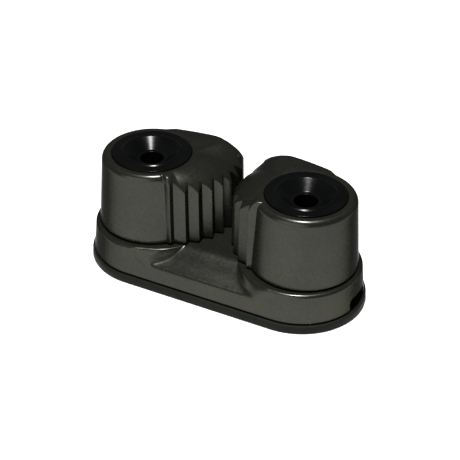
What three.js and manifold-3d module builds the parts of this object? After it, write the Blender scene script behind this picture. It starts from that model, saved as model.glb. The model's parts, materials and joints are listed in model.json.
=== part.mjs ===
// Ball-bearing cam cleat for 6 to 12 mm line, fastened down with two 5 mm screws.
// Millimetres, +Z up. The origin is at the centre of the underside, X runs through both screw
// holes, and the loaded line pulls towards -Y, so that side holds the open V between the cams.

import * as THREE from 'three'
import { mergeVertices } from 'three/addons/utils/BufferGeometryUtils.js'
import Module from 'manifold-3d'

// ---------------------------------------------------------------- driving dimensions

const SCREW_SPACING = 38
const PIVOT_X = SCREW_SPACING / 2
const SCREW_BORE_R = 2.65
const GAP = 0.3

const END_CENTRE_X = 18.3
const PAD = { radius: 14.95, height: 2, edge: 0.25, boreRadius: 3 }
const BASE = {
  underRadius: 13.9,
  footRadius: 14.4,
  footZ: PAD.height + 0.45,
  wallTopRadius: 13.85,
  wallTopZ: 8.6,
  topZ: 9.4,
  edge: 0.8,
}
const RAMP = { creaseZ: 6, innerY: 8, outerY: 14.3, radius: 13.2, halfLength: 17, steps: 6 }
const BOSS = { footRadius: 14.5, topRadius: 13.9 }
const NOTCH = { width: 7.5, height: 3.2, depth: 2.5, corner: 1.2 }

const POST = { flangeRadius: 7.2, flangeTop: 14.4, seatZ: 4.8, barrelRadius: 4.28, top: 24.2 }
const SPIGOT = { radius: 3.2, bottom: 21.8 }
const CAP = {
  radius: 8.95,
  under: 24.5,
  rimTop: 26.75,
  edge: 0.15,
  lipOuter: 7,
  lipInner: 6.2,
  lipTop: 27,
  dishFoot: 3.3,
  dishFloor: 24.9,
}

const BALL = { radius: 3.175 / 2, pitchRadius: 5.9, perRow: 11 }
const BALL_ROWS = { lower: 16.3, upper: 22.2 }
const POCKET = {
  capRadius: CAP.radius + GAP,
  capMouthRadius: 9.35,
  capFloor: POST.top,
  ballRadius: 7.55,
  upperFloor: 20.4,
  neckRadius: 6.9,
  lowerRoof: 18,
  springRadius: 9.9,
  springRoof: 14.6,
}

const SPRING = {
  wireRadius: 0.6,
  coilRadius: 8.75,
  coilBottom: 8.95,
  coilTop: 13.6,
  legBottom: 6.4,
  legTop: 16.2,
  baseLegAngle: 300,
  turns: 10 / 3,
  legBoreRadius: 0.9,
  grooveFloor: 8.2,
}

const STOP = { radius: 10.9, width: 1.6, bottom: 8.3, restAngle: 200, travel: 60, slotFloor: 8 }

const CAM = {
  bottom: BASE.topZ + 0.4,
  top: 26.55,
  bodyRadius: 12.2,
  bodyDraft: Math.tan(THREE.MathUtils.degToRad(3.6)),
  lobeDraft: Math.tan(THREE.MathUtils.degToRad(1.1)),
  bottomEdge: 0.2,
  bodyFillet: { inset: 0.8, height: 1 },
  frontFillet: { inset: 1.8, height: 3 },
  backFillet: { inset: 1.2, height: 0.8 },
  dome: { innerRadius: 9.6, baseHeight: 2.6, heightPerInset: 0.3, power: 4 / 3 },
}
// The gripping face is a spiral: radius = SPIRAL.start + SPIRAL.growth * degrees from the X axis.
const SPIRAL = { start: 17.67, growth: 0.105, lastAngle: 38.5 }
// The back face is a shallow arc that meets the round body tangentially at tangentAngle.
const BACK_ARC = { radius: 60, tangentAngle: 105, cornerBlend: 1.6 }
const TEETH = {
  frontAngle: -48.5,
  groove: { degrees: -46.5, depth: 0.35 },
  tipAngles: [-43, -30, -19, -7.6, 2.6, 12, 21, 29.5],
  firstDepth: 1,
  depthStep: 0.25,
  deepest: 1.75,
  firstRootShare: 0.36,
  rootShareStep: 0.14,
  lastRootShare: 0.8,
}

const ROUND_SEGMENTS = 36
const BORE_SEGMENTS = 32
const STADIUM_SEGMENTS = 48

// ---------------------------------------------------------------- materials

const anodised = { color: 0x4b4c45, roughness: 0.42, metalness: 0.75 }
const acetal = { color: 0x0c0d0d, roughness: 0.3, metalness: 0 }
const rubber = { color: 0x2c2e2a, roughness: 0.6, metalness: 0 }
const torlon = { color: 0x6b5a2c, roughness: 0.35, metalness: 0 }
const stainless = { color: 0xb4b6b8, roughness: 0.25, metalness: 1 }

// ---------------------------------------------------------------- solids and booleans

const wasm = await Module()
wasm.setup()

// Merges shared corners and drops the triangles that collapse at a lathe's axis.
function weld(geometry) {
  const bare = geometry.clone()
  bare.deleteAttribute('normal')
  bare.deleteAttribute('uv')
  const welded = mergeVertices(bare, 1e-4)
  const corners = welded.getIndex().array
  const kept = []
  for (let i = 0; i < corners.length; i += 3) {
    const [a, b, c] = corners.slice(i, i + 3)
    if (a !== b && b !== c && c !== a) {
      kept.push(a, b, c)
    }
  }
  welded.setIndex(kept)
  return welded
}

function toSolid(geometry) {
  const welded = weld(geometry)
  const vertProperties = new Float32Array(welded.getAttribute('position').array)
  const triVerts = new Uint32Array(welded.getIndex().array)
  return new wasm.Manifold(new wasm.Mesh({ numProp: 3, vertProperties, triVerts }))
}

function toGeometry(solid) {
  const mesh = solid.getMesh()
  const geometry = new THREE.BufferGeometry()
  geometry.setAttribute('position', new THREE.BufferAttribute(mesh.vertProperties, 3))
  geometry.setIndex(new THREE.BufferAttribute(mesh.triVerts, 1))
  geometry.computeVertexNormals()
  return geometry
}

function subtractAll(geometry, cutters) {
  let solid = toSolid(geometry)
  for (const cutter of cutters) {
    solid = solid.subtract(toSolid(cutter))
  }
  return toGeometry(solid)
}

// Turns a profile of [radius, z] points, listed outside upwards, about the Z axis.
function turned(profile, segments) {
  const points = profile.map(([radius, z]) => new THREE.Vector2(radius, z))
  const phase = Math.PI / segments
  return new THREE.LatheGeometry(points, segments, phase).rotateX(Math.PI / 2)
}

function disc(radius, bottom, top, segments = BORE_SEGMENTS) {
  return turned([[0, bottom], [radius, bottom], [radius, top], [0, top]], segments)
}

// Pulls the two halves of a turned solid apart along X, which makes a straight-sided stadium.
function stretched(geometry, halfLength, pointsPerColumn, segments) {
  const position = geometry.getAttribute('position')
  for (let i = 0; i < position.count; i += 1) {
    const column = Math.floor(i / pointsPerColumn)
    const phi = ((column + 0.5) * 2 * Math.PI) / segments
    const side = Math.sin(phi) > 0 ? 1 : -1
    position.setX(i, position.getX(i) + side * halfLength)
  }
  return geometry
}

function stadium(profile) {
  const round = turned(profile, STADIUM_SEGMENTS)
  return stretched(round, END_CENTRE_X, profile.length, STADIUM_SEGMENTS)
}

function mirroredX(geometry) {
  const mirror = geometry.clone().scale(-1, 1, 1)
  const corners = mirror.getIndex().array
  for (let i = 0; i < corners.length; i += 3) {
    const swap = corners[i]
    corners[i] = corners[i + 1]
    corners[i + 1] = swap
  }
  mirror.computeVertexNormals()
  return mirror
}

function polar(radius, degrees) {
  const angle = THREE.MathUtils.degToRad(degrees)
  return [radius * Math.cos(angle), radius * Math.sin(angle)]
}

function namedMesh(name, geometry, finish) {
  const mesh = new THREE.Mesh(geometry, new THREE.MeshStandardMaterial(finish))
  mesh.name = name
  return mesh
}

// ---------------------------------------------------------------- sole pad and base

function solePad() {
  const inset = PAD.radius - PAD.edge
  const profile = [
    [0, 0],
    [inset, 0],
    [PAD.radius, PAD.edge],
    [PAD.radius, PAD.height - PAD.edge],
    [inset, PAD.height],
    [0, PAD.height],
  ]
  const bores = [-PIVOT_X, PIVOT_X].map((x) =>
    disc(PAD.boreRadius, -1, PAD.height + 1).translate(x, 0, 0),
  )
  return subtractAll(stadium(profile), bores)
}

function baseBlank() {
  const edgeTurn = BASE.edge * (1 - Math.SQRT1_2)
  return stadium([
    [0, PAD.height],
    [BASE.underRadius, PAD.height],
    [BASE.underRadius, BASE.footZ],
    [BASE.footRadius, BASE.footZ],
    [BASE.wallTopRadius, BASE.wallTopZ],
    [BASE.wallTopRadius - edgeTurn, BASE.topZ - edgeTurn],
    [BASE.wallTopRadius - BASE.edge, BASE.topZ],
    [0, BASE.topZ],
  ])
}

// Round boss that carries a cam and narrows towards its top.
function boss() {
  const slope = (BOSS.footRadius - BOSS.topRadius) / (BASE.topZ - RAMP.creaseZ)
  const above = 3
  return turned([
    [0, RAMP.creaseZ - above],
    [BOSS.footRadius, RAMP.creaseZ - above],
    [BOSS.footRadius, RAMP.creaseZ],
    [BOSS.topRadius - slope * above, BASE.topZ + above],
    [0, BASE.topZ + above],
  ], STADIUM_SEGMENTS)
}

// The hollowed lead-in ramp between the bosses, cut from the middle of a long side.
function rampCutter(side) {
  const chord = new THREE.Vector2(RAMP.innerY - RAMP.outerY, BASE.topZ - RAMP.creaseZ)
  const halfTurn = Math.asin(chord.length() / (2 * RAMP.radius))
  const startSlope = Math.atan2(chord.y, -chord.x) - halfTurn
  const outline = new THREE.Shape()
  outline.moveTo(RAMP.outerY + 2, BASE.topZ + 1)
  outline.lineTo(RAMP.outerY + 2, RAMP.creaseZ)
  for (let step = 0; step <= RAMP.steps; step += 1) {
    const slope = startSlope + (2 * halfTurn * step) / RAMP.steps
    const y = RAMP.outerY - RAMP.radius * (Math.sin(slope) - Math.sin(startSlope))
    const z = RAMP.creaseZ + RAMP.radius * (Math.cos(startSlope) - Math.cos(slope))
    outline.lineTo(y, z)
  }
  outline.lineTo(RAMP.innerY, BASE.topZ + 1)
  const length = 2 * RAMP.halfLength
  const slab = new THREE.ExtrudeGeometry(outline, { depth: length, bevelEnabled: false })
  slab.rotateX(Math.PI / 2).rotateZ(Math.PI / 2).translate(-length / 2, 0, 0)
  if (side < 0) {
    slab.rotateZ(Math.PI)
  }
  const bosses = [-END_CENTRE_X, END_CENTRE_X].map((x) => boss().translate(x, 0, 0))
  return subtractAll(slab, bosses)
}

// Low arched notch through the end wall, open towards the sole pad.
function endNotch(side) {
  const halfWidth = NOTCH.width / 2
  const top = PAD.height + NOTCH.height
  const outline = new THREE.Shape([
    new THREE.Vector2(-halfWidth, PAD.height - 1),
    new THREE.Vector2(halfWidth, PAD.height - 1),
    new THREE.Vector2(halfWidth, top - NOTCH.corner),
    new THREE.Vector2(halfWidth - NOTCH.corner * 0.3, top - NOTCH.corner * 0.3),
    new THREE.Vector2(halfWidth - NOTCH.corner, top),
    new THREE.Vector2(NOTCH.corner - halfWidth, top),
    new THREE.Vector2(NOTCH.corner * 0.3 - halfWidth, top - NOTCH.corner * 0.3),
    new THREE.Vector2(-halfWidth, top - NOTCH.corner),
  ])
  const depth = 2 * NOTCH.depth
  const notch = new THREE.ExtrudeGeometry(outline, { depth, bevelEnabled: false })
  notch.rotateX(Math.PI / 2).rotateZ(Math.PI / 2)
  return notch.translate(side * (END_CENTRE_X + BASE.footRadius) - NOTCH.depth, 0, 0)
}

// Stepped seat for one post and its spring, with the screw hole below it.
function postSeat() {
  const seatRadius = POST.flangeRadius + GAP
  const profile = [
    [0, 0],
    [SCREW_BORE_R, 0],
    [SCREW_BORE_R, POST.seatZ - GAP],
    [seatRadius, POST.seatZ - GAP],
    [seatRadius, SPRING.grooveFloor],
    [POCKET.springRadius, SPRING.grooveFloor],
    [POCKET.springRadius, BASE.topZ + 1],
    [0, BASE.topZ + 1],
  ]
  return turned(profile, ROUND_SEGMENTS)
}

// Arc groove that the cam's stop lug runs in.
function stopSlot() {
  const halfWidth = STOP.width / 2 + GAP
  const lugAngle = THREE.MathUtils.radToDeg((STOP.width / 2 + GAP) / STOP.radius)
  const start = THREE.MathUtils.degToRad(STOP.restAngle - lugAngle)
  const end = THREE.MathUtils.degToRad(STOP.restAngle + STOP.travel + lugAngle)
  const outline = new THREE.Shape()
  outline.absarc(0, 0, STOP.radius + halfWidth, start, end, false)
  outline.absarc(0, 0, STOP.radius - halfWidth, end, start, true)
  const depth = BASE.topZ + 1 - STOP.slotFloor
  const slot = new THREE.ExtrudeGeometry(outline, { depth, bevelEnabled: false, curveSegments: 12 })
  return slot.translate(0, 0, STOP.slotFloor)
}

function springLegBore(radius, degrees, bottom, top) {
  const [x, y] = polar(radius, degrees)
  return disc(SPRING.legBoreRadius, bottom, top, 12).translate(x, y, 0)
}

function baseBody() {
  const legFloor = SPRING.legBottom - GAP
  const legBore = springLegBore(
    SPRING.coilRadius, SPRING.baseLegAngle, legFloor, SPRING.grooveFloor + 0.5,
  )
  const leftCutters = [postSeat(), weld(stopSlot()), legBore]
  const cutters = [rampCutter(1), rampCutter(-1), endNotch(1), endNotch(-1)]
  for (const cutter of leftCutters) {
    cutters.push(cutter.clone().translate(-PIVOT_X, 0, 0))
    cutters.push(mirroredX(cutter).translate(PIVOT_X, 0, 0))
  }
  return subtractAll(baseBlank(), cutters)
}

// ---------------------------------------------------------------- pivot post and cap

function pivotPost() {
  const socketRadius = SPIGOT.radius + GAP
  return turned([
    [SCREW_BORE_R, POST.seatZ],
    [POST.flangeRadius, POST.seatZ],
    [POST.flangeRadius, POST.flangeTop],
    [POST.barrelRadius, POST.flangeTop],
    [POST.barrelRadius, POST.top],
    [socketRadius, POST.top],
    [socketRadius, SPIGOT.bottom - GAP],
    [SCREW_BORE_R, SPIGOT.bottom - GAP],
    [SCREW_BORE_R, POST.seatZ],
  ], ROUND_SEGMENTS)
}

// Flanged cap: a flat rim with a low lip round a conical dish, and a spigot for the post.
function bearingCap() {
  return turned([
    [SCREW_BORE_R, SPIGOT.bottom],
    [SPIGOT.radius, SPIGOT.bottom],
    [SPIGOT.radius, CAP.under],
    [CAP.radius, CAP.under],
    [CAP.radius, CAP.rimTop - CAP.edge],
    [CAP.radius - CAP.edge, CAP.rimTop],
    [CAP.lipOuter, CAP.rimTop],
    [CAP.lipOuter - 0.3, CAP.lipTop],
    [CAP.lipInner + 0.15, CAP.lipTop],
    [CAP.lipInner - 0.05, CAP.lipTop - 0.15],
    [CAP.dishFoot + 0.2, CAP.dishFloor + 0.1],
    [CAP.dishFoot, CAP.dishFloor],
    [SCREW_BORE_R, CAP.dishFloor],
    [SCREW_BORE_R, SPIGOT.bottom],
  ], ROUND_SEGMENTS)
}

// ---------------------------------------------------------------- cams

function spiralRadius(degrees) {
  return SPIRAL.start + SPIRAL.growth * degrees
}

// Distance from the pivot to the back arc, which is a circle about a point off the pivot.
function backArcRadius(degrees) {
  const away = BACK_ARC.radius - CAM.bodyRadius
  const along = -away * Math.cos(THREE.MathUtils.degToRad(degrees - BACK_ARC.tangentAngle))
  return along + Math.sqrt(BACK_ARC.radius ** 2 - away ** 2 + along ** 2)
}

function smoothMin(a, b, blend) {
  const near = Math.max(blend - Math.abs(a - b), 0) / blend
  return Math.min(a, b) - (near * near * blend) / 4
}

function ramp(value, from, to) {
  return THREE.MathUtils.smoothstep(value, from, to)
}

// Outer envelope of the toothed lobe at the foot of the cam.
function lobeRadius(degrees) {
  return smoothMin(spiralRadius(degrees), backArcRadius(degrees), BACK_ARC.cornerBlend)
}

// One column of the cam's outline. Its draft follows from how far it belongs to the lobe, and its
// rounding at the top from how far it belongs to the teeth and to the domed shoulder over them.
function column(degrees, radius, depth = 0) {
  const { frontAngle, groove, tipAngles } = TEETH
  const back = ramp(degrees, 90, BACK_ARC.tangentAngle)
  const lobe = ramp(degrees, frontAngle, tipAngles[0]) * (1 - back)
  const grip = ramp(degrees, frontAngle - 1.5, groove.degrees) * (1 - back)
  const teeth = 1 - ramp(degrees, 24, 56)
  const dome = ramp(degrees, groove.degrees, tipAngles[0] + 7) * teeth
  const { bodyDraft, lobeDraft, bodyFillet, frontFillet, backFillet } = CAM
  const draft = THREE.MathUtils.lerp(bodyDraft, lobeDraft, lobe)
  const topRadius = radius - draft * (CAM.top - CAM.bottom)
  const domeInset = topRadius - CAM.dome.innerRadius
  const domeHeight = CAM.dome.baseHeight + CAM.dome.heightPerInset * domeInset
  const lobeInset = THREE.MathUtils.lerp(backFillet.inset, frontFillet.inset, teeth)
  const lobeHeight = THREE.MathUtils.lerp(backFillet.height, frontFillet.height, teeth)
  const edgeInset = THREE.MathUtils.lerp(bodyFillet.inset, lobeInset, grip)
  const edgeHeight = THREE.MathUtils.lerp(bodyFillet.height, lobeHeight, grip)
  const inset = THREE.MathUtils.lerp(edgeInset, domeInset, dome)
  const height = THREE.MathUtils.lerp(edgeHeight, domeHeight, dome)
  const power = THREE.MathUtils.lerp(1, CAM.dome.power, dome)
  return { degrees, radius, depth, draft, inset, height, power }
}

function toothColumns() {
  const { frontAngle, groove } = TEETH
  const firstTip = TEETH.tipAngles[0]
  const share = (groove.degrees - frontAngle) / (firstTip - frontAngle)
  const grooveRadius = THREE.MathUtils.lerp(CAM.bodyRadius, lobeRadius(firstTip), share)
  const columns = [
    column(frontAngle, CAM.bodyRadius),
    column(groove.degrees, grooveRadius, groove.depth),
  ]
  TEETH.tipAngles.forEach((tip, k) => {
    const next = TEETH.tipAngles[k + 1] ?? SPIRAL.lastAngle
    const rootShare = Math.min(TEETH.firstRootShare + k * TEETH.rootShareStep, TEETH.lastRootShare)
    const root = tip + rootShare * (next - tip)
    const depth = Math.min(TEETH.firstDepth + k * TEETH.depthStep, TEETH.deepest)
    columns.push(column(tip, lobeRadius(tip)))
    columns.push(column(root, lobeRadius(root), depth))
  })
  return columns
}

function backColumns() {
  const angles = [38, 40, 42.5, 46, 51, 57, 64, 72, 81, 90, 98]
  return angles.map((degrees) => column(degrees, lobeRadius(degrees)))
}

function bodyColumns() {
  const columns = []
  const count = 27
  const span = TEETH.frontAngle + 360 - BACK_ARC.tangentAngle
  for (let k = 0; k < count; k += 1) {
    columns.push(column(BACK_ARC.tangentAngle + (span * k) / count, CAM.bodyRadius))
  }
  return columns
}

// Point of the skin on one column. Rounding runs from 0, where it leaves the wall, to 90 degrees
// at the flat top. The flutes keep their depth until the rounding cuts them off.
function skinPoint(here, level) {
  const rounding = THREE.MathUtils.degToRad(level.rounding)
  const start = CAM.top - here.height
  const climb = Math.sin(rounding) ** here.power
  const z = level.foot ?? start + here.height * climb
  const left = Math.max(Math.cos(rounding), 0) ** here.power
  const inset = Math.max(here.inset * (1 - left), here.depth)
  const edge = z === CAM.bottom ? CAM.bottomEdge : 0
  return [here.radius - here.draft * (z - CAM.bottom) - inset - edge, z]
}

function camSkin() {
  const columns = [...toothColumns(), ...backColumns(), ...bodyColumns()]
  const levels = [
    { foot: CAM.bottom, rounding: 0 },
    { foot: CAM.bottom + CAM.bottomEdge, rounding: 0 },
    ...[0, 16, 30, 43, 56, 68, 80, 90].map((rounding) => ({ rounding })),
  ]
  const bands = levels.length - 1
  const skin = new THREE.CylinderGeometry(1, 1, bands, columns.length, bands)
  const position = skin.getAttribute('position')
  for (let i = 0; i < position.count; i += 1) {
    const level = Math.round(position.getY(i) + bands / 2)
    const onRim = Math.hypot(position.getX(i), position.getZ(i)) > 0.5
    const turn = Math.atan2(position.getX(i), position.getZ(i)) / (2 * Math.PI)
    const here = columns[Math.round((turn + 1) * columns.length) % columns.length]
    const [radius, z] = skinPoint(here, levels[level])
    const [x, y] = polar(onRim ? radius : 0, here.degrees)
    position.setXYZ(i, x, y, z)
  }
  return skin
}

// Everything that is turned out of the cam round its post, as one stepped cutter.
function camBore() {
  return turned([
    [0, CAM.bottom - 1],
    [POCKET.springRadius, CAM.bottom - 1],
    [POCKET.springRadius, POCKET.springRoof],
    [POCKET.ballRadius, POCKET.springRoof],
    [POCKET.ballRadius, POCKET.lowerRoof],
    [POCKET.neckRadius, POCKET.lowerRoof],
    [POCKET.neckRadius, POCKET.upperFloor],
    [POCKET.ballRadius, POCKET.upperFloor],
    [POCKET.ballRadius, POCKET.capFloor],
    [POCKET.capRadius, POCKET.capFloor],
    [POCKET.capRadius, CAM.top - 0.3],
    [POCKET.capMouthRadius + 0.2, CAM.top + 0.2],
    [0, CAM.top + 0.2],
  ], ROUND_SEGMENTS)
}

function stopLug() {
  const height = CAM.bottom + 1 - STOP.bottom
  const lug = new THREE.BoxGeometry(STOP.width, STOP.width, height)
  lug.translate(STOP.radius, 0, STOP.bottom + height / 2)
  return lug.rotateZ(THREE.MathUtils.degToRad(STOP.restAngle))
}

function camBody() {
  const legAngle = SPRING.baseLegAngle + 360 * SPRING.turns
  const legBore = springLegBore(
    SPRING.coilRadius, legAngle, POCKET.springRoof - 0.5, SPRING.legTop + GAP,
  )
  const solid = toSolid(camSkin())
    .subtract(toSolid(camBore()))
    .subtract(toSolid(legBore))
    .add(toSolid(stopLug()))
  return toGeometry(solid)
}

// ---------------------------------------------------------------- bearing balls and springs

function ball() {
  return new THREE.IcosahedronGeometry(BALL.radius, 1)
}

// Coil with a straight leg at each end: the lower leg sits in the base, the upper in the cam.
function springPath() {
  const points = []
  const [footX, footY] = polar(SPRING.coilRadius, SPRING.baseLegAngle)
  points.push(new THREE.Vector3(footX, footY, SPRING.legBottom))
  points.push(new THREE.Vector3(footX, footY, SPRING.coilBottom - 0.6))
  const stepsPerTurn = 16
  const steps = Math.round(SPRING.turns * stepsPerTurn)
  for (let k = 1; k < steps; k += 1) {
    const along = k / steps
    const degrees = SPRING.baseLegAngle + 360 * SPRING.turns * along
    const [x, y] = polar(SPRING.coilRadius, degrees)
    const z = THREE.MathUtils.lerp(SPRING.coilBottom, SPRING.coilTop, along)
    points.push(new THREE.Vector3(x, y, z))
  }
  const [headX, headY] = polar(SPRING.coilRadius, SPRING.baseLegAngle + 360 * SPRING.turns)
  points.push(new THREE.Vector3(headX, headY, SPRING.coilTop + 0.6))
  points.push(new THREE.Vector3(headX, headY, SPRING.legTop))
  return new THREE.CatmullRomCurve3(points, false, 'centripetal')
}

function torsionSpring() {
  const section = new THREE.Shape()
  section.absarc(0, 0, SPRING.wireRadius, 0, 2 * Math.PI, false)
  const wire = new THREE.ExtrudeGeometry(section, {
    steps: 76,
    curveSegments: 4,
    extrudePath: springPath(),
  })
  return weld(wire)
}

// ---------------------------------------------------------------- assembly

function ballRow(side, row, height) {
  const group = new THREE.Group()
  for (let k = 0; k < BALL.perRow; k += 1) {
    const number = String(k + 1).padStart(2, '0')
    const mesh = namedMesh(`${side}_${row}_ball_${number}`, ball(), torlon)
    const [x, y] = polar(BALL.pitchRadius, (360 * k) / BALL.perRow)
    mesh.position.set(x, y, height)
    group.add(mesh)
  }
  return group
}

function camUnit(side, shapes) {
  const group = new THREE.Group()
  group.position.x = side === 'left' ? -PIVOT_X : PIVOT_X
  const handed = (geometry) => (side === 'left' ? geometry : mirroredX(geometry))
  group.add(namedMesh(`cam_${side}`, handed(shapes.cam), anodised))
  group.add(namedMesh(`spring_${side}`, handed(shapes.spring), stainless))
  group.add(namedMesh(`pivot_post_${side}`, shapes.post, acetal))
  group.add(namedMesh(`cap_${side}`, shapes.cap, acetal))
  for (const [row, height] of Object.entries(BALL_ROWS)) {
    group.add(ballRow(side, row, height))
  }
  return group
}

const shapes = {
  cam: camBody(),
  spring: torsionSpring(),
  post: weld(pivotPost()),
  cap: weld(bearingCap()),
}

const cleat = new THREE.Group()
cleat.add(namedMesh('sole_pad', solePad(), rubber))
cleat.add(namedMesh('base', baseBody(), anodised))
cleat.add(camUnit('left', shapes))
cleat.add(camUnit('right', shapes))

export default cleat
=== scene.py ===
"""Looks of the ball-bearing cam cleat: fine meshes, materials, light and camera.

The cleat and the camera are written in millimetres and turned into metres by MM. Floor, lights and
bumps are in metres, and noise scales are per metre. X runs through both pivots, the loaded line
leaves towards -Y, and +Z is up from the deck.
"""

import json
import math

import bmesh
import bpy
import numpy as np
from mathutils import Matrix, Vector


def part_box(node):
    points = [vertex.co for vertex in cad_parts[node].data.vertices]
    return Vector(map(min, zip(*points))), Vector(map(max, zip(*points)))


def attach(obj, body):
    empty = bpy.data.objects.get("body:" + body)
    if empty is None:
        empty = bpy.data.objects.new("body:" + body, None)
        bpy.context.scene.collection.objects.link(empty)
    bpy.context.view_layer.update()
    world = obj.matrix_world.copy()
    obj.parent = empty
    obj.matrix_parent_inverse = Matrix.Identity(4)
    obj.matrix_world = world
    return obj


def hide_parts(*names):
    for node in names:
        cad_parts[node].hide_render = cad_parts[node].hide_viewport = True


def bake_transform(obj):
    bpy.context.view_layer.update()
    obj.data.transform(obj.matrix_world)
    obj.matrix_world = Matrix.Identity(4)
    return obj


MM = 0.001
SIDES = {"left": -1, "right": 1}

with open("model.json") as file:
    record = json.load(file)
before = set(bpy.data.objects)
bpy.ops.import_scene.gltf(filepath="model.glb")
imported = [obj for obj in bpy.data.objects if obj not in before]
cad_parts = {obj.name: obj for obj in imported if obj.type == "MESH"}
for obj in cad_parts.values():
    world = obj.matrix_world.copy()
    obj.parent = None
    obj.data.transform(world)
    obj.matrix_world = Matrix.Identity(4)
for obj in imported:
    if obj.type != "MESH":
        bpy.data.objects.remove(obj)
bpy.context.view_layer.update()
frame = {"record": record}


# ------------------------------------------------------------------ places from the frame

def node_box(node):
    """Low and high corner of a CAD node's box, in millimetres."""
    low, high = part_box(node)
    return np.array(low) / MM, np.array(high) / MM


PAD_END, PAD_RADIUS, PAD_TOP = node_box("sole_pad")[1]
BASE_TOP = node_box("base")[1][2]
CAM_TOP = node_box("cam_left")[1][2]
CAP_FOOT, CAP_TOP = (corner[2] for corner in node_box("cap_right"))
POST_LOW, POST_HIGH = node_box("pivot_post_right")

PIVOT_X = (POST_LOW[0] + POST_HIGH[0]) / 2
END_CENTRE_X = PAD_END - PAD_RADIUS


# ------------------------------------------------------------------ camera

# Degrees round the cleat from the front, above the deck and about the line of sight.
AZIMUTH, ELEVATION, ROLL = 27.037, 34.138, 0.518
# Along the line of sight, to the right of it and above it.
DISTANCE, SIDE_OFFSET, LIFT_OFFSET = 305.487, 0.746, 9.356
FOCAL_LENGTH, SENSOR_WIDTH = 104.10, 36
NEAR_CLIP = 10


def add_object(name, data):
    """Puts new data into the scene as an object."""
    item = bpy.data.objects.new(name, data)
    bpy.context.scene.collection.objects.link(item)
    return item


def make_camera():
    turn, tilt, roll = (math.radians(v) for v in (AZIMUTH, ELEVATION, ROLL))
    back = Vector((math.sin(turn) * math.cos(tilt), -math.cos(turn) * math.cos(tilt),
                   math.sin(tilt)))
    right = Vector((math.cos(turn), math.sin(turn), 0))
    up = back.cross(right)
    place = (back * DISTANCE + right * SIDE_OFFSET + up * LIFT_OFFSET) * MM
    rolled_right = right * math.cos(roll) + up * math.sin(roll)
    rolled_up = up * math.cos(roll) - right * math.sin(roll)
    data = bpy.data.cameras.new("camera")
    data.sensor_width = SENSOR_WIDTH
    data.lens = FOCAL_LENGTH
    data.clip_start = NEAR_CLIP * MM
    camera = add_object("camera", data)
    axes = Matrix((rolled_right, rolled_up, back)).transposed()
    camera.matrix_world = Matrix.Translation(place) @ axes.to_4x4()
    bpy.context.scene.camera = camera


make_camera()


# ------------------------------------------------------------------ mesh tools

SHARP_ANGLE = math.radians(32)
# In metres: points closer than this are one point.
WELD = 1e-7
# A corner's rounding takes at most this share of each edge beside it.
LONGEST_ROUNDING = 0.49
# Keeps the width of a blend above zero.
TINY = 1e-6
# Cutters run this far past the faces that they open.
PAST = 1


def finish_mesh(name, verts_mm, faces):
    """Makes an object from millimetre points, welds doubles and marks sharp edges."""
    mesh = bpy.data.meshes.new(name)
    mesh.from_pydata((np.asarray(verts_mm) * MM).tolist(), [], faces)
    piece = add_object(name, mesh)
    clean(piece)
    return piece


def clean(piece):
    """Welds doubles, turns faces outwards and marks the sharp edges."""
    work = bmesh.new()
    work.from_mesh(piece.data)
    bmesh.ops.remove_doubles(work, verts=work.verts, dist=WELD)
    bmesh.ops.dissolve_degenerate(work, edges=work.edges, dist=WELD)
    bmesh.ops.recalc_face_normals(work, faces=work.faces)
    for face in work.faces:
        face.smooth = True
    for edge in work.edges:
        edge.smooth = len(edge.link_faces) == 2 and edge.calc_face_angle(0) < SHARP_ANGLE
    work.to_mesh(piece.data)
    work.free()


def grid_faces(rows, columns, close_rows):
    """Quads between neighbouring rows; columns always wrap, rows wrap when close_rows is set."""
    faces = []
    last = rows if close_rows else rows - 1
    for i in range(last):
        a, b = i * columns, ((i + 1) % rows) * columns
        for j in range(columns):
            k = (j + 1) % columns
            faces.append((a + j, a + k, b + k, b + j))
    return faces


def skin(name, rings, close_rows=True):
    """A closed skin over rings of points, shaped (rows, columns, 3) in millimetres."""
    rings = np.asarray(rings, float)
    rows, columns = rings.shape[:2]
    faces = grid_faces(rows, columns, close_rows)
    return finish_mesh(name, rings.reshape(-1, 3), faces)


def rounded(corners, steps):
    """Rounds a closed outline's corners. Each corner is (radius, z, rounding)."""
    points = []
    count = len(corners)
    for i, (r, z, size) in enumerate(corners):
        here = np.array((r, z), float)
        before = np.array(corners[i - 1][:2], float) - here
        after = np.array(corners[(i + 1) % count][:2], float) - here
        before_length, after_length = np.linalg.norm(before), np.linalg.norm(after)
        reach = min(size, before_length * LONGEST_ROUNDING, after_length * LONGEST_ROUNDING)
        start = here + before / before_length * reach
        end = here + after / after_length * reach
        for t in np.linspace(0, 1, steps + 1):
            points.append((1 - t) ** 2 * start + 2 * t * (1 - t) * here + t * t * end)
    return np.array(points)


def revolve(name, profile, centre, segments):
    """Turns a closed (radius, z) outline about the vertical axis through centre."""
    angle = np.linspace(0, 2 * np.pi, segments, endpoint=False)
    r, z = profile[:, 0][:, None], profile[:, 1][:, None]
    rings = np.stack([centre[0] + r * np.cos(angle), centre[1] + r * np.sin(angle),
                      z + 0 * angle], axis=-1)
    return skin(name, rings)


def boolean(piece, cutter, operation="DIFFERENCE"):
    """Applies one exact boolean and removes the cutter."""
    step = piece.modifiers.new("cut", "BOOLEAN")
    step.operation = operation
    step.solver = "EXACT"
    step.object = cutter
    bpy.context.view_layer.update()
    graph = bpy.context.evaluated_depsgraph_get()
    result = bpy.data.meshes.new_from_object(piece.evaluated_get(graph))
    piece.modifiers.remove(step)
    old = piece.data
    piece.data = result
    bpy.data.meshes.remove(old)
    bpy.data.objects.remove(cutter)


def cylinder(radius, low, high, centre, segments=96):
    """Upright round cutter between two heights."""
    profile = np.array([(0, low), (radius, low), (radius, high), (0, high)], float)
    return revolve("cutter", profile, centre, segments)


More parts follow.
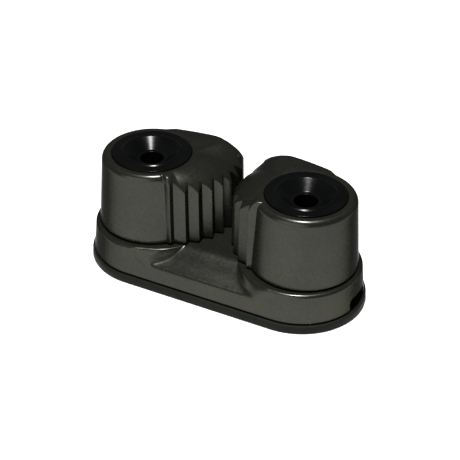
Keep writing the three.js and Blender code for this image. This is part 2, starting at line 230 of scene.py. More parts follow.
def box_cutter(centre, size, turn):
    """Box from its centre and full size, turned about the vertical axis through its centre."""
    work = bmesh.new()
    bmesh.ops.create_cube(work, size=1)
    mesh = bpy.data.meshes.new("cutter")
    work.to_mesh(mesh)
    work.free()
    place = Matrix.Translation(Vector(centre) * MM) @ Matrix.Rotation(turn, 4, "Z")
    mesh.transform(place @ Matrix.Diagonal((*(Vector(size) * MM), 1)))
    return add_object("cutter", mesh)


def polar(radius, degrees, side):
    """Point at a radius and angle in the left cam's sense, mirrored for the right side."""
    angle = math.radians(degrees)
    return side * PIVOT_X - side * radius * math.cos(angle), radius * math.sin(angle)


def mix(a, b, t):
    """Value between a and b, at the share t."""
    return a + (b - a) * t


def smoothstep(value, low, high):
    """Rises smoothly from 0 at low to 1 at high."""
    t = np.clip((value - low) / (high - low), 0, 1)
    return t * t * (3 - 2 * t)


def smooth_max(a, b, blend):
    """Larger of two values, rounded over where they differ by less than the blend."""
    near = np.maximum(blend - np.abs(a - b), 0) / blend
    return np.maximum(a, b) + near * near * blend / 4


def smooth_min(a, b, blend):
    """Smaller of two values, rounded over in the same way."""
    return -smooth_max(-a, -b, blend)


# ------------------------------------------------------------------ cams

# Angles round a cam are in degrees, 0 towards the other cam and rising towards the back.
CAM_CLEARANCE = 0.4
CAM_BOTTOM = BASE_TOP + CAM_CLEARANCE
CAM_FOOT_EDGE = 0.22
BODY_RADIUS = 12.2
BODY_DRAFT = math.tan(math.radians(3.6))
LOBE_DRAFT = math.tan(math.radians(1.1))
SPIRAL_START, SPIRAL_GROWTH = 17.67, 0.105

BLEND_ANGLE, FRONT_ANGLE, GROOVE_ANGLE, NOSE_ANGLE = -50.0, -48.5, -46.5, 38.5
GROOVE_DEPTH = 0.35
TOOTH_TIPS = [-43, -30, -19, -7.6, 2.6, 12, 21, 29.5]
FIRST_DEPTH, DEPTH_STEP, DEEPEST = 1.0, 0.25, 1.75
FIRST_ROOT_SHARE, ROOT_SHARE_STEP, LAST_ROOT_SHARE = 0.36, 0.14, 0.8
TEETH_FADE = (24, 56)
FLUTE_BLEND = 0.8
NOSE_BLEND = 1.6
BACK_ARC_RADIUS = 60.0
BACK_FADE_ANGLE, BACK_TANGENT_ANGLE = 90, 105.0

# Each top rounding is (inset, height).
BODY_FILLET = (1.15, 1.35)
FRONT_FILLET = (1.8, 3.0)
BACK_FILLET = (1.2, 0.8)
DOME_RADIUS, DOME_HEIGHT, DOME_RISE, DOME_POWER = 9.6, 2.6, 0.3, 4 / 3
DOME_FULL_ANGLE = -32

# Bore radii from the cap's mouth down, the mouth's edge as (radius, drop), and the heights.
MOUTH_RADIUS, CAP_WALL, BALL_WALL, BALL_NECK, SPRING_WALL = 9.2, 9.07, 7.55, 6.9, 9.9
MOUTH_EDGE = ((9.14, 0.03), (9.09, 0.1), (CAP_WALL, 0.22))
CAP_SHOULDER = CAP_FOOT + 2.4
NECK_TOP, NECK_BOTTOM, SPRING_ROOF = 20.4, 18.0, 14.6

LEG_HOLE_RADIUS, HEAD_HOLE_LOW, HEAD_HOLE_HIGH = 0.9, 14.1, 16.5
LUG_RADIUS, LUG_ANGLE, LUG_MIDDLE_Z = 10.9, 200, 9.55
LUG_SIZE = (1.6, 1.6, 2.5)

TEETH_COLUMNS, BODY_COLUMNS = 300, 190
COLUMNS_BEFORE_FRONT, COLUMNS_PAST_NOSE = 2, 10
WALL_ROWS, ROUNDING_ROWS = 8, 70


def spiral(degrees):
    """Radius of the spiral that the tooth tips lie on."""
    return SPIRAL_START + SPIRAL_GROWTH * degrees


def back_arc(degrees):
    """Distance from the pivot to the shallow arc of the cam's back face."""
    away = BACK_ARC_RADIUS - BODY_RADIUS
    along = -away * np.cos(np.radians(degrees - BACK_TANGENT_ANGLE))
    return along + np.sqrt(BACK_ARC_RADIUS ** 2 - away ** 2 + along ** 2)


def crest(degrees):
    """Envelope of the tooth tips, rounded over at the nose and running on along the back."""
    return smooth_min(spiral(degrees), back_arc(degrees), NOSE_BLEND)


def first_ramp(degrees):
    """Envelope from the round body out to the first tooth tip."""
    share = (degrees - FRONT_ANGLE) / (TOOTH_TIPS[0] - FRONT_ANGLE)
    return mix(BODY_RADIUS, crest(TOOTH_TIPS[0]), share)


def tooth_corners():
    """Corners of the sawtooth outline as (degrees, radius), from the front corner on."""
    corners = [(FRONT_ANGLE, BODY_RADIUS), (GROOVE_ANGLE, first_ramp(GROOVE_ANGLE) - GROOVE_DEPTH)]
    ends = TOOTH_TIPS[1:] + [NOSE_ANGLE]
    for k, (tip, end) in enumerate(zip(TOOTH_TIPS, ends)):
        share = min(FIRST_ROOT_SHARE + k * ROOT_SHARE_STEP, LAST_ROOT_SHARE)
        root = mix(tip, end, share)
        depth = min(FIRST_DEPTH + k * DEPTH_STEP, DEEPEST)
        corners.append((tip, crest(tip)))
        corners.append((root, crest(root) - depth))
    corners.append((NOSE_ANGLE, crest(NOSE_ANGLE)))
    return corners


def polygon_radius(degrees, corners):
    """Distance from the pivot to straight lines between polar corners, at each angle."""
    radius = np.full(len(degrees), np.nan)
    for (a0, r0), (a1, r1) in zip(corners, corners[1:]):
        inside = (degrees >= a0) & (degrees <= a1)
        p = r0 * np.exp(1j * math.radians(a0))
        q = r1 * np.exp(1j * math.radians(a1))
        ray = np.exp(1j * np.radians(degrees[inside]))
        along = q - p
        cross = (p.conjugate() * along).imag
        radius[inside] = cross / (ray.conjugate() * along).imag
    return radius


def cam_columns():
    """Angles round the cam in degrees, close together over the teeth."""
    first, last = FRONT_ANGLE - COLUMNS_BEFORE_FRONT, NOSE_ANGLE + COLUMNS_PAST_NOSE
    teeth = np.linspace(first, last, TEETH_COLUMNS)
    rest = np.linspace(last, first + 360, BODY_COLUMNS)
    return np.concatenate([teeth, rest[1:-1]])


def soften(values, passes):
    """Rounds kinks by averaging each value with its neighbours."""
    for _ in range(passes):
        values = 0.25 * np.roll(values, 1) + 0.5 * values + 0.25 * np.roll(values, -1)
    return values


def cam_outline(degrees):
    """Envelope radius and tooth depth at each column, at the foot of the cam."""
    corners = tooth_corners()
    teeth = polygon_radius(degrees, corners)
    envelope = np.where(degrees < BACK_TANGENT_ANGLE, crest(degrees), BODY_RADIUS)
    envelope = np.where(degrees < TOOTH_TIPS[0], first_ramp(degrees), envelope)
    envelope = np.where(degrees < FRONT_ANGLE, BODY_RADIUS, envelope)
    depth = np.where(np.isnan(teeth), 0, envelope - teeth)
    return soften(envelope, passes=2), soften(np.maximum(depth, 0), passes=1)


class CamSkin:
    """Outer skin of a cam as a function of column and height."""

    def __init__(self, degrees):
        self.envelope, self.depth = cam_outline(degrees)
        back = smoothstep(degrees, BACK_FADE_ANGLE, BACK_TANGENT_ANGLE)
        lobe = smoothstep(degrees, FRONT_ANGLE, TOOTH_TIPS[0]) * (1 - back)
        grip = smoothstep(degrees, BLEND_ANGLE, GROOVE_ANGLE) * (1 - back)
        teeth = 1 - smoothstep(degrees, *TEETH_FADE)
        dome = smoothstep(degrees, GROOVE_ANGLE, DOME_FULL_ANGLE) * teeth
        lobe_inset = mix(BACK_FILLET[0], FRONT_FILLET[0], teeth)
        lobe_height = mix(BACK_FILLET[1], FRONT_FILLET[1], teeth)
        self.draft = mix(BODY_DRAFT, LOBE_DRAFT, lobe)
        inset = self.envelope - self.draft * (CAM_TOP - CAM_BOTTOM) - DOME_RADIUS
        height = DOME_HEIGHT + DOME_RISE * inset
        self.inset = mix(mix(BODY_FILLET[0], lobe_inset, grip), inset, dome)
        self.height = mix(mix(BODY_FILLET[1], lobe_height, grip), height, dome)
        self.power = mix(1.0, DOME_POWER, dome)

    def wall(self, z):
        """Radius of the drafted and toothed wall at a height."""
        return self.envelope - self.draft * (z - CAM_BOTTOM) - self.depth

    def rounding(self, degrees):
        """Radius and height on the top rounding, from 0 at the wall to 90 on the flat top."""
        turn = math.radians(degrees)
        z = CAM_TOP - self.height * (1 - math.sin(turn) ** self.power)
        inset = self.inset * (1 - abs(math.cos(turn)) ** self.power)
        taken = smooth_max(inset, self.depth, FLUTE_BLEND * np.minimum(self.depth, 1) + TINY)
        return self.envelope - self.draft * (z - CAM_BOTTOM) - taken, z


def cam_bore_profile():
    """Bore from the cap's seat down to the spring pocket, as (radius, z) points."""
    return [(CAP_WALL, CAP_SHOULDER), (BALL_WALL, CAP_SHOULDER), (BALL_WALL, NECK_TOP),
            (BALL_NECK, NECK_TOP), (BALL_NECK, NECK_BOTTOM), (BALL_WALL, NECK_BOTTOM),
            (BALL_WALL, SPRING_ROOF), (SPRING_WALL, SPRING_ROOF), (SPRING_WALL, CAM_BOTTOM)]


def cam_rings(degrees):
    """Rows of (radius, height) over all columns, outside upwards and inside downwards."""
    shape = CamSkin(degrees)
    edge = CAM_FOOT_EDGE
    flat = np.ones(len(degrees))
    rows = []
    for turn in np.linspace(0, math.pi / 2, 4):
        z = CAM_BOTTOM + edge * (1 - math.cos(turn))
        rows.append((shape.wall(z) - edge * (1 - math.sin(turn)), z * flat))
    start = CAM_TOP - shape.height
    for share in np.linspace(0.05, 0.97, WALL_ROWS):
        z = mix(CAM_BOTTOM + edge, start, share)
        rows.append((shape.wall(z), z))
    for turn in np.linspace(0, 90, ROUNDING_ROWS):
        rows.append(shape.rounding(turn))
    top_radius = rows[-1][0]
    for share in (0.3, 0.6, 1.0):
        rows.append((mix(top_radius, MOUTH_RADIUS, share), CAM_TOP * flat))
    for r, drop in MOUTH_EDGE:
        rows.append((r * flat, (CAM_TOP - drop) * flat))
    for r, z in cam_bore_profile():
        rows.append((r * flat, z * flat))
    rows.append((mix(SPRING_WALL, rows[0][0], 0.5), CAM_BOTTOM * flat))
    return rows


def make_cam(side_name):
    side = SIDES[side_name]
    degrees = cam_columns()
    angle = np.radians(degrees)
    rings = []
    for r, z in cam_rings(degrees):
        x = side * PIVOT_X - side * r * np.cos(angle)
        rings.append(np.stack([x, r * np.sin(angle), z], axis=-1))
    cam = skin(f"fine_cam_{side_name}", rings)
    leg = polar(SPRING_RADIUS, SPRING_HEAD_ANGLE, side)
    boolean(cam, cylinder(LEG_HOLE_RADIUS, HEAD_HOLE_LOW, HEAD_HOLE_HIGH, leg, 32))
    lug_place = (*polar(LUG_RADIUS, LUG_ANGLE, side), LUG_MIDDLE_Z)
    lug_turn = math.radians(LUG_ANGLE if side < 0 else 180 - LUG_ANGLE)
    boolean(cam, box_cutter(lug_place, LUG_SIZE, lug_turn), "UNION")
    clean(cam)
    settle(cam, f"{side_name}_cam", anodised, f"cam_{side_name}")


# ------------------------------------------------------------------ base and sole pad

FOOT_RADIUS, FOOT_Z, UNDER_RADIUS = 14.4, 2.45, 13.9
FOOT_EDGE = 0.12
WALL_TOP_RADIUS, WALL_TOP_Z = 13.85, 8.6
WALL_SLOPE = (FOOT_RADIUS - WALL_TOP_RADIUS) / (WALL_TOP_Z - FOOT_Z)
RIM_EDGE, RAMP_EDGE, RAMP_EDGE_DROP = 0.8, 0.9, 2.5
SCREW_BORE = 2.65

RAMP_INNER_Y, RAMP_OUTER_Y, CREASE_Z, RAMP_RADIUS = 8.0, 14.3, 6.0, 13.2
RAMP_BLEND = 1.6
# The fall beside a boss changes from the first slope and rounding to the second between these
# distances inwards from the centre of its end.
BOSS_NEAR, BOSS_FAR = 4, 9
BOSS_SLOPE = (4.0, 6.0)
BOSS_ROUNDING = (0.9, 0.4)
# A higher power makes the blend of ramp and boss narrower.
BLEND_POWER, LEAST_DROP = 3.0, 1e-4

SCREW_HOLE_TOP = 6
POST_SEAT_RADIUS, POST_SEAT_Z = 7.5, 4.5
SPRING_SEAT_RADIUS, SPRING_SEAT_Z = 9.9, 8.2
FOOT_HOLE_LOW, FOOT_HOLE_HIGH = 6.1, 9
SLOT_INNER, SLOT_OUTER, SLOT_FLOOR = 9.8, 12.0, 8.0
SLOT_START, SLOT_END = 194, 266
NOTCH_WIDTH, NOTCH_HEIGHT, NOTCH_DEPTH, NOTCH_CORNER = 7.5, 3.2, 2.5, 1.3
PAD_EDGE, PAD_BORE = 0.3, 3.0


def wall_radius(z):
    """Radius of the leaning outer wall at a height."""
    return FOOT_RADIUS - (z - FOOT_Z) * WALL_SLOPE


def stadium_columns(arc_steps=96, straight_steps=300):
    """Unit outline of a stadium: centre point and outward direction for each column."""
    centres, normals = [], []
    for side in (1, -1):
        start = -math.pi / 2 if side > 0 else math.pi / 2
        for k in range(arc_steps):
            angle = start + math.pi * k / arc_steps
            centres.append((side * END_CENTRE_X, 0))
            normals.append((math.cos(angle), math.sin(angle)))
        for k in range(straight_steps):
            centres.append((side * END_CENTRE_X * (1 - 2 * k / straight_steps), 0))
            normals.append((0, side))
    return np.array(centres, float), np.array(normals, float)


def ramp_height(y):
    """Height of the hollowed lead-in ramp at a distance from the middle plane."""
    run, rise = RAMP_OUTER_Y - RAMP_INNER_Y, BASE_TOP - CREASE_Z
    half_turn = math.asin(math.hypot(run, rise) / (2 * RAMP_RADIUS))
    slope = math.atan2(rise, run) - half_turn
    share = np.sin(slope) + (RAMP_OUTER_Y - np.abs(y)) / RAMP_RADIUS
    share = np.clip(share, math.sin(slope), math.sin(slope + 2 * half_turn))
    height = CREASE_Z + RAMP_RADIUS * (math.cos(slope) - np.sqrt(1 - share * share))
    height = np.where(np.abs(y) < RAMP_INNER_Y, BASE_TOP + RAMP_INNER_Y - np.abs(y), height)
    return smooth_min(height, BASE_TOP, RAMP_BLEND)


def boss_drop(x, y):
    """Fall below the top face outside the round boss under the nearer cam."""
    inward = END_CENTRE_X - np.abs(x)
    beyond = np.hypot(inward, y) - WALL_TOP_RADIUS
    far = smoothstep(inward, BOSS_NEAR, BOSS_FAR)
    blend = mix(*BOSS_ROUNDING, far) * smoothstep(inward, 0, BOSS_NEAR) + TINY
    return np.where(inward < 0, 0, mix(*BOSS_SLOPE, far) * smooth_max(beyond, 0, blend))


def base_top_height(x, y):
    """Height of the top face: ramps and bosses, joined by a narrow hollow blend."""
    ramp = np.maximum(BASE_TOP - ramp_height(y), LEAST_DROP)
    boss = np.maximum(boss_drop(x, y), LEAST_DROP)
    return BASE_TOP - (ramp ** -BLEND_POWER + boss ** -BLEND_POWER) ** (-1 / BLEND_POWER)


def base_rings():
    """Rings from the middle of the underside, up the wall and in over the top face."""
    centres, normals = stadium_columns()

    def ring(radius, z):
        radius = np.broadcast_to(radius, len(centres))
        flat = centres + normals * radius[:, None]
        return np.column_stack([flat, np.broadcast_to(z, len(centres))])

    def ring_on_top(radius, drop):
        flat = centres + normals * radius[:, None]
        return np.column_stack([flat, base_top_height(flat[:, 0], flat[:, 1]) - drop])

    rim_xy = centres + normals * WALL_TOP_RADIUS
    rim_z = base_top_height(rim_xy[:, 0], rim_xy[:, 1])
    edge = mix(RIM_EDGE, RAMP_EDGE, smoothstep(BASE_TOP - rim_z, 0, RAMP_EDGE_DROP))
    rings = [ring(r, PAD_TOP) for r in (0, 6, 11, UNDER_RADIUS)]
    rings += [ring(UNDER_RADIUS, FOOT_Z - 0.02), ring(FOOT_RADIUS - FOOT_EDGE, FOOT_Z),
              ring(FOOT_RADIUS - FOOT_EDGE / 4, FOOT_Z + FOOT_EDGE / 3),
              ring(FOOT_RADIUS, FOOT_Z + FOOT_EDGE)]
    wall_top = rim_z - edge
    for share in np.linspace(0.08, 1, 12):
        z = mix(FOOT_Z + FOOT_EDGE, wall_top, share)
        rings.append(ring(wall_radius(z), z))
    outer = wall_radius(wall_top)
    for turn in np.linspace(0, math.pi / 2, 12)[1:]:
        rings.append(ring_on_top(outer - edge * (1 - math.cos(turn)),
                                 edge * (1 - math.sin(turn))))
    inner = outer - edge
    shares = np.concatenate([np.linspace(0, 0.5, 56)[1:], np.linspace(0.5, 1, 14)[1:]])
    for share in shares:
        rings.append(ring_on_top(inner * (1 - share), 0))
    return rings


def arc_slot(side):
    """Arc groove for the stop lug, as a closed cutter."""
    high = BASE_TOP + PAST
    corners = [(SLOT_INNER, SLOT_FLOOR), (SLOT_OUTER, SLOT_FLOOR), (SLOT_OUTER, high),
               (SLOT_INNER, high)]
    rings = []
    for degrees in np.linspace(SLOT_START, SLOT_END, 37):
        rings.append([(*polar(r, degrees, side), z) for r, z in corners])
    rings = np.array(rings)
    rows, columns = rings.shape[:2]
    faces = grid_faces(rows, columns, False)
    faces.append(tuple(range(columns)))
    faces.append(tuple(range((rows - 1) * columns, rows * columns))[::-1])
    return finish_mesh("cutter", rings.reshape(-1, 3), faces)


def notch_cutter(side):
    """Low arched notch through the end wall, open towards the sole pad."""
    half, top, corner = NOTCH_WIDTH / 2, PAD_TOP + NOTCH_HEIGHT, NOTCH_CORNER
    outline = [(-half, PAD_TOP - PAST), (half, PAD_TOP - PAST)]
    for sign, angles in ((1, range(0, 91, 15)), (-1, range(90, -1, -15))):
        for angle in map(math.radians, angles):
            outline.append((sign * (half - corner + corner * math.cos(angle)),
                            top - corner + corner * math.sin(angle)))
    outer = side * (END_CENTRE_X + FOOT_RADIUS)
    rings = [[(x, y, z) for y, z in outline] for x in (outer - NOTCH_DEPTH, outer + NOTCH_DEPTH)]
    faces = grid_faces(2, len(outline), False)
    faces.append(tuple(range(len(outline))))
    faces.append(tuple(range(len(outline), 2 * len(outline)))[::-1])
    return finish_mesh("cutter", np.array(rings).reshape(-1, 3), faces)


def make_base():
    base = skin("fine_base", base_rings(), close_rows=False)
    for side in SIDES.values():
        centre = (side * PIVOT_X, 0)
        boolean(base, cylinder(SCREW_BORE, 0, SCREW_HOLE_TOP, centre, 64))
        boolean(base, cylinder(POST_SEAT_RADIUS, POST_SEAT_Z, BASE_TOP + PAST, centre))
        boolean(base, cylinder(SPRING_SEAT_RADIUS, SPRING_SEAT_Z, BASE_TOP + PAST, centre))
        boolean(base, arc_slot(side))
        leg = polar(SPRING_RADIUS, SPRING_FOOT_ANGLE, side)
        boolean(base, cylinder(LEG_HOLE_RADIUS, FOOT_HOLE_LOW, FOOT_HOLE_HIGH, leg, 32))
        boolean(base, notch_cutter(side))
    clean(base)
    settle(base, "base_unit", anodised, "base")


def make_pad():
    centres, normals = stadium_columns(straight_steps=40)
    edge = PAD_EDGE
    profile = [(0, 0), (10, 0), (PAD_RADIUS - edge, 0), (PAD_RADIUS - edge * 0.3, edge * 0.3),
               (PAD_RADIUS, edge)]
    for turn in np.linspace(0, math.pi / 2, 5):
        profile.append((PAD_RADIUS - edge * (1 - math.cos(turn)),
                        PAD_TOP - edge * (1 - math.sin(turn))))
    profile += [(10, PAD_TOP), (0, PAD_TOP)]
    rings = []
    for r, z in profile:
        flat = centres + normals * r
        rings.append(np.column_stack([flat, np.full(len(flat), z)]))
    pad = skin("fine_sole_pad", rings, close_rows=False)
    for side in SIDES.values():
        boolean(pad, cylinder(PAD_BORE, -PAST, PAD_TOP + PAST, (side * PIVOT_X, 0), 64))
    clean(pad)
    settle(pad, "base_unit", rubber, "sole_pad")


# ------------------------------------------------------------------ caps, posts, balls, springs

CAP_RADIUS, CAP_UNDERSIDE, SPIGOT_RADIUS = 8.95, CAP_TOP - 2.5, 3.2
RIM_TOP = CAP_TOP - 0.25
LIP_OUTER, LIP_CREST, LIP_INNER = 7.0, 6.6, 6.2
DISH_FOOT, DISH_FLOOR = 3.3, 24.9

POST_FOOT, POST_TOP = POST_LOW[2], POST_HIGH[2]
FLANGE_RADIUS, FLANGE_TOP, COLLAR_RADIUS = 7.2, 14.4, 4.6
RACE_RADIUS, RACE_FOOT = 4.28, 14.6
SOCKET_RADIUS, SOCKET_FLOOR = 3.5, 21.5
CHAMFER_RADIUS, CHAMFER_FOOT = 2.9, 21.25

BALL_RADIUS = 3.175 / 2

SPRING_RADIUS, WIRE_RADIUS = 8.75, 0.6
SPRING_FOOT_ANGLE, SPRING_TURNS = 300, 10 / 3
SPRING_HEAD_ANGLE = SPRING_FOOT_ANGLE + 360 * SPRING_TURNS
COIL_LOW, COIL_HIGH, LEG_LOW, LEG_HIGH = 8.95, 13.6, 6.4, 16.2
LEG_BEND, LEG_BEND_ANGLE = 0.7, 6


def make_cap(side_name):
    """Bearing cap: spigot, flat rim, raised lip and a dish down to the screw bore."""
    corners = [
        (SCREW_BORE, CAP_FOOT, 0.1), (SPIGOT_RADIUS, CAP_FOOT, 0.15),
        (SPIGOT_RADIUS, CAP_UNDERSIDE, 0.15), (CAP_RADIUS, CAP_UNDERSIDE, 0.2),
        (CAP_RADIUS, RIM_TOP, 0.14), (LIP_OUTER, RIM_TOP, 0.12), (LIP_CREST, CAP_TOP, 0.12),
        (LIP_INNER, CAP_TOP, 0.25), (DISH_FOOT, DISH_FLOOR, 0.3), (SCREW_BORE, DISH_FLOOR, 0.1),
    ]
    profile = rounded(corners, steps=8)
    cap = revolve(f"fine_cap_{side_name}", profile, (SIDES[side_name] * PIVOT_X, 0), 160)
    settle(cap, "base_unit", acetal, f"cap_{side_name}")


def make_post(side_name):
    """Pivot post: flange, inner race of the bearing and a socket for the cap's spigot."""
    corners = [
        (SCREW_BORE, POST_FOOT, 0.1), (FLANGE_RADIUS, POST_FOOT, 0.2),
        (FLANGE_RADIUS, FLANGE_TOP, 0.25), (COLLAR_RADIUS, FLANGE_TOP, 0.1),
        (RACE_RADIUS, RACE_FOOT, 0.3), (RACE_RADIUS, POST_TOP, 0.2),
        (SOCKET_RADIUS, POST_TOP, 0.1), (SOCKET_RADIUS, SOCKET_FLOOR, 0.1),
        (CHAMFER_RADIUS, SOCKET_FLOOR, 0.1), (SCREW_BORE, CHAMFER_FOOT, 0.1),
    ]
    profile = rounded(corners, steps=5)
    post = revolve(f"fine_post_{side_name}", profile, (SIDES[side_name] * PIVOT_X, 0), 96)
    settle(post, "base_unit", acetal, f"pivot_post_{side_name}")


def make_balls(side_name):
    """One smooth ball for each ball of the frame, at its own place."""
    for node in frame["record"]["behaviour"]["bodies"][f"{side_name}_balls"]:
        low, high = node_box(node)
        work = bmesh.new()
        bmesh.ops.create_cube(work, size=2)
        bmesh.ops.subdivide_edges(work, edges=work.edges, cuts=7, use_grid_fill=True)
        for vert in work.verts:
            vert.co = Vector((low + high) / 2) * MM + vert.co.normalized() * BALL_RADIUS * MM
        for face in work.faces:
            face.smooth = True
        mesh = bpy.data.meshes.new(f"fine_{node}")
        work.to_mesh(mesh)
        work.free()
        ball = add_object(f"fine_{node}", mesh)
        settle(ball, f"{side_name}_balls", bearing, node)


def spring_path(side):
    """Centre line: the leg up out of the base, the coil, and the leg up into the cam."""
    points = [(*polar(SPRING_RADIUS, SPRING_FOOT_ANGLE, side), z)
              for z in np.linspace(LEG_LOW, COIL_LOW - LEG_BEND, 5)]
    start_turn = SPRING_FOOT_ANGLE + LEG_BEND_ANGLE
    end_turn = SPRING_HEAD_ANGLE - LEG_BEND_ANGLE
    for share in np.linspace(0, 1, 240):
        degrees = mix(start_turn, end_turn, share)
        points.append((*polar(SPRING_RADIUS, degrees, side), mix(COIL_LOW, COIL_HIGH, share)))
    points += [(*polar(SPRING_RADIUS, SPRING_HEAD_ANGLE, side), z)
               for z in np.linspace(COIL_HIGH + LEG_BEND, LEG_HIGH, 5)]
    return np.array(points)


def tube(name, path, radius, sides=16):
    """Round wire along a path, with flat ends, framed by parallel transport."""
    not_along = (0.3, 0.5, 0.1)
    end_shares = (0, 0.7)
    tangents = np.gradient(path, axis=0)
    tangents /= np.linalg.norm(tangents, axis=1)[:, None]
    across = np.cross(tangents[0], not_along)
    across /= np.linalg.norm(across)
    rings = []
    angle = np.linspace(0, 2 * np.pi, sides, endpoint=False)
    last = len(path) - 1
    for i, (point, tangent) in enumerate(zip(path, tangents)):
        across = across - tangent * np.dot(across, tangent)
        across /= np.linalg.norm(across)
        other = np.cross(tangent, across)
        circle = np.outer(np.cos(angle), across) + np.outer(np.sin(angle), other)
        if i == 0:
            rings += [point + circle * radius * share for share in end_shares]
        rings.append(point + circle * radius)
        if i == last:
            rings += [point + circle * radius * share for share in reversed(end_shares)]
    return skin(name, rings, close_rows=False)


def make_spring(side_name):
    side = SIDES[side_name]
    spring = tube(f"fine_spring_{side_name}", spring_path(side), WIRE_RADIUS)
    spring.data.materials.append(stainless)
    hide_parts(f"spring_{side_name}")
    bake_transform(spring)


def settle(piece, body, material, node):
    """Gives a finished piece its material and body, and hides the CAD node that it stands for."""
    piece.data.materials.clear()
    piece.data.materials.append(material)
    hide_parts(node)
    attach(piece, body)


# ------------------------------------------------------------------ materials

# Sockets of the mix node when it mixes colours.
MIX_FACTOR, MIX_A, MIX_B, MIX_RESULT = 0, 6, 7, 2


class Shader:
    """Small helper that adds nodes to one material."""

    def __init__(self, name):
        self.material = bpy.data.materials.new(name)
        self.material.use_nodes = True
        self.nodes = self.material.node_tree.nodes
        self.links = self.material.node_tree.links
        self.surface = self.nodes["Principled BSDF"]

    def set(self, **values):
        """Sets uniform values on the surface's sockets, with _ for a space in a name."""
        for key, value in values.items():
            self.surface.inputs[key.replace("_", " ")].default_value = value

    def place(self):
        return self.nodes.new("ShaderNodeTexCoord").outputs["Object"]

    def noise(self, vector, scale, detail):
        node = self.nodes.new("ShaderNodeTexNoise")
        node.inputs["Scale"].default_value = scale
        node.inputs["Detail"].default_value = detail
        self.links.new(vector, node.inputs["Vector"])
        return node.outputs["Fac"]

    def stretch(self, vector, scale):
        node = self.nodes.new("ShaderNodeMapping")
        node.inputs["Scale"].default_value = scale
        self.links.new(vector, node.inputs["Vector"])
        return node.outputs["Vector"]

    def ramp(self, value, stops):
        """Colour ramp from (position, colour) stops."""
        node = self.nodes.new("ShaderNodeValToRGB")
        elements = node.color_ramp.elements
        for element, (position, colour) in zip(elements, (stops[0], stops[-1])):
            element.position = position
            element.color = (*colour, 1)
        for position, colour in stops[1:-1]:
            element = elements.new(position)
            element.color = (*colour, 1)
        self.links.new(value, node.inputs["Fac"])
        return node.outputs["Color"]

    def remap(self, value, low, high, to_low, to_high):
        node = self.nodes.new("ShaderNodeMapRange")
        for key, number in zip(("From Min", "From Max", "To Min", "To Max"),
                               (low, high, to_low, to_high)):
            node.inputs[key].default_value = number
        self.links.new(value, node.inputs["Value"])
        return node.outputs["Result"]

    def mix_colour(self, factor, below, above):
        """Mixes from a colour socket to a plain colour."""
        node = self.nodes.new("ShaderNodeMix")
        node.data_type = "RGBA"
        self.links.new(factor, node.inputs[MIX_FACTOR])
        self.links.new(below, node.inputs[MIX_A])
        node.inputs[MIX_B].default_value = (*above, 1)
        return node.outputs[MIX_RESULT]

    def add(self, a, b):
        node = self.nodes.new("ShaderNodeMath")
        node.operation = "ADD"
        self.links.new(a, node.inputs[0])
        self.links.new(b, node.inputs[1])
        return node.outputs[0]

    def bump(self, height, strength, distance):
        node = self.nodes.new("ShaderNodeBump")
        node.inputs["Strength"].default_value = strength
        node.inputs["Distance"].default_value = distance
        self.links.new(height, node.inputs["Height"])
        self.links.new(node.outputs["Normal"], self.surface.inputs["Normal"])

    def feed(self, socket, value):
        """Links a node's output to one of the surface's sockets."""
        self.links.new(value, self.surface.inputs[socket])


def anodised_metal():
    """Hard-anodised aluminium: dark olive grey, satin, with a fine blasted grain."""
    s = Shader("anodised_aluminium")
    place = s.place()
    cloud = s.noise(place, scale=90, detail=4)
    mottle = s.noise(place, scale=1400, detail=4)
    grain = s.noise(place, scale=2600, detail=2)
    streak = s.noise(s.stretch(place, (1, 1, 0.12)), scale=420, detail=2)
    patchy = s.remap(s.add(cloud, mottle), 0.7, 1.3, 0, 1)
    colour = s.ramp(patchy, [(0.1, (0.036, 0.037, 0.033)), (0.5, (0.040, 0.041, 0.035)),
                             (0.9, (0.045, 0.045, 0.034))])
    worn = s.remap(s.nodes.new("ShaderNodeNewGeometry").outputs["Pointiness"],
                   0.56, 0.66, 0, 0.2)
    s.feed("Base Color", s.mix_colour(worn, colour, (0.12, 0.117, 0.105)))
    s.feed("Roughness", s.remap(s.add(mottle, streak), 0.6, 1.4, 0.23, 0.31))
    s.set(Metallic=0.83, Specular_IOR_Level=0.03, Specular_Tint=(0.12, 0.12, 0.11, 1))
    s.bump(s.add(grain, streak), strength=0.12, distance=0.00004)
    return s.material


def black_acetal():
    """Moulded black acetal with a soft gloss and faint moulding flow."""
    s = Shader("black_acetal")
    place = s.place()
    cloud = s.noise(place, scale=160, detail=3)
    specks = s.noise(place, scale=1900, detail=2)
    s.feed("Base Color", s.ramp(cloud, [(0.3, (0.0014, 0.0016, 0.0015)),
                                        (0.7, (0.0024, 0.0026, 0.0025))]))
    s.feed("Roughness", s.remap(specks, 0.3, 0.7, 0.16, 0.22))
    s.set(Specular_IOR_Level=0.06)
    s.bump(specks, strength=0.03, distance=0.00002)
    return s.material


def sole_rubber():
    """Dull moulded sole pad."""
    s = Shader("sole_rubber")
    place = s.place()
    cloud = s.noise(place, scale=140, detail=4)
    grain = s.noise(place, scale=1500, detail=3)
    s.feed("Base Color", s.ramp(cloud, [(0.3, (0.006, 0.007, 0.005)),
                                        (0.7, (0.011, 0.012, 0.010))]))
    s.set(Specular_IOR_Level=0.05)
    s.feed("Roughness", s.remap(grain, 0.3, 0.7, 0.5, 0.68))
    s.bump(grain, strength=0.25, distance=0.00006)
    return s.material


def bearing_plastic():
    """Straw-brown bearing balls, polished and slightly mottled."""
    s = Shader("bearing_ball")
    place = s.place()
    cloud = s.noise(place, scale=700, detail=3)
    s.feed("Base Color", s.ramp(cloud, [(0.3, (0.12, 0.085, 0.028)), (0.7, (0.19, 0.14, 0.05))]))
    s.feed("Roughness", s.remap(cloud, 0.3, 0.7, 0.22, 0.34))
    s.bump(cloud, strength=0.05, distance=0.00002)
    return s.material


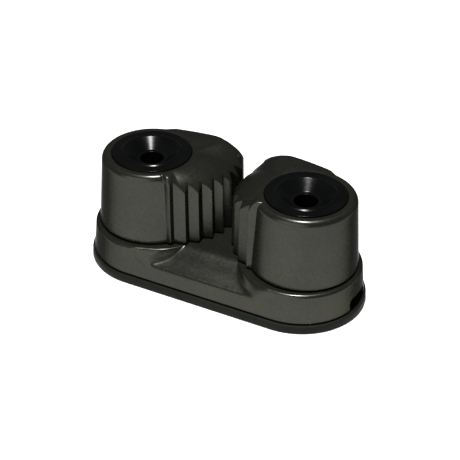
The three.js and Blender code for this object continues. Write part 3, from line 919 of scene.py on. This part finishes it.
def stainless_wire():
    """Drawn stainless wire with fine draw lines."""
    s = Shader("spring_steel")
    place = s.place()
    lines = s.noise(s.stretch(place, (1, 1, 6)), scale=900, detail=3)
    s.feed("Base Color", s.ramp(lines, [(0.3, (0.42, 0.42, 0.43)), (0.7, (0.56, 0.56, 0.57))]))
    s.feed("Roughness", s.remap(lines, 0.3, 0.7, 0.18, 0.34))
    s.set(Metallic=1.0)
    s.bump(lines, strength=0.15, distance=0.00003)
    return s.material


anodised = anodised_metal()
acetal = black_acetal()
rubber = sole_rubber()
bearing = bearing_plastic()
stainless = stainless_wire()


# ------------------------------------------------------------------ assembly

make_pad()
make_base()
for side_name in SIDES:
    make_cam(side_name)
    make_cap(side_name)
    make_post(side_name)
    make_balls(side_name)
    make_spring(side_name)


# ------------------------------------------------------------------ floor and light

FLOOR_HALF = 3.0
LIGHT_AIM = (0, 0, 0.02)
WORLD_STRENGTH = 0.08


def make_floor():
    half = FLOOR_HALF
    mesh = bpy.data.meshes.new("floor")
    corners = [(-half, -half, 0), (half, -half, 0), (half, half, 0), (-half, half, 0)]
    mesh.from_pydata(corners, [], [(0, 1, 2, 3)])
    floor = add_object("floor", mesh)
    s = Shader("floor")
    s.set(Base_Color=(0.9, 0.9, 0.9, 1), Roughness=0.9, Emission_Color=(1, 1, 1, 1),
          Emission_Strength=0.05)
    mesh.materials.append(s.material)


def area_light(name, place, size, power):
    """Round light at a place, turned towards the cleat."""
    data = bpy.data.lights.new(name, "AREA")
    data.shape = "DISK"
    data.size = size
    data.energy = power
    light = add_object(name, data)
    light.location = place
    light.rotation_euler = (Vector(LIGHT_AIM) - Vector(place)).to_track_quat("-Z", "Y").to_euler()


def around(azimuth, elevation, distance):
    """Place round the origin, with the angles measured as the camera's are."""
    turn, tilt = math.radians(azimuth), math.radians(elevation)
    return (distance * math.sin(turn) * math.cos(tilt),
            -distance * math.cos(turn) * math.cos(tilt), distance * math.sin(tilt))


def make_world():
    world = bpy.data.worlds.new("studio")
    world.use_nodes = True
    background = world.node_tree.nodes["Background"]
    background.inputs["Color"].default_value = (1, 1, 1, 1)
    background.inputs["Strength"].default_value = WORLD_STRENGTH
    bpy.context.scene.world = world


make_floor()
make_world()
area_light("key", around(AZIMUTH, elevation=86, distance=0.4), size=0.05, power=2.9)
area_light("front", around(azimuth=-4, elevation=17, distance=0.7), size=0.8, power=2.85)
bpy.context.scene.view_settings.view_transform = "Standard"
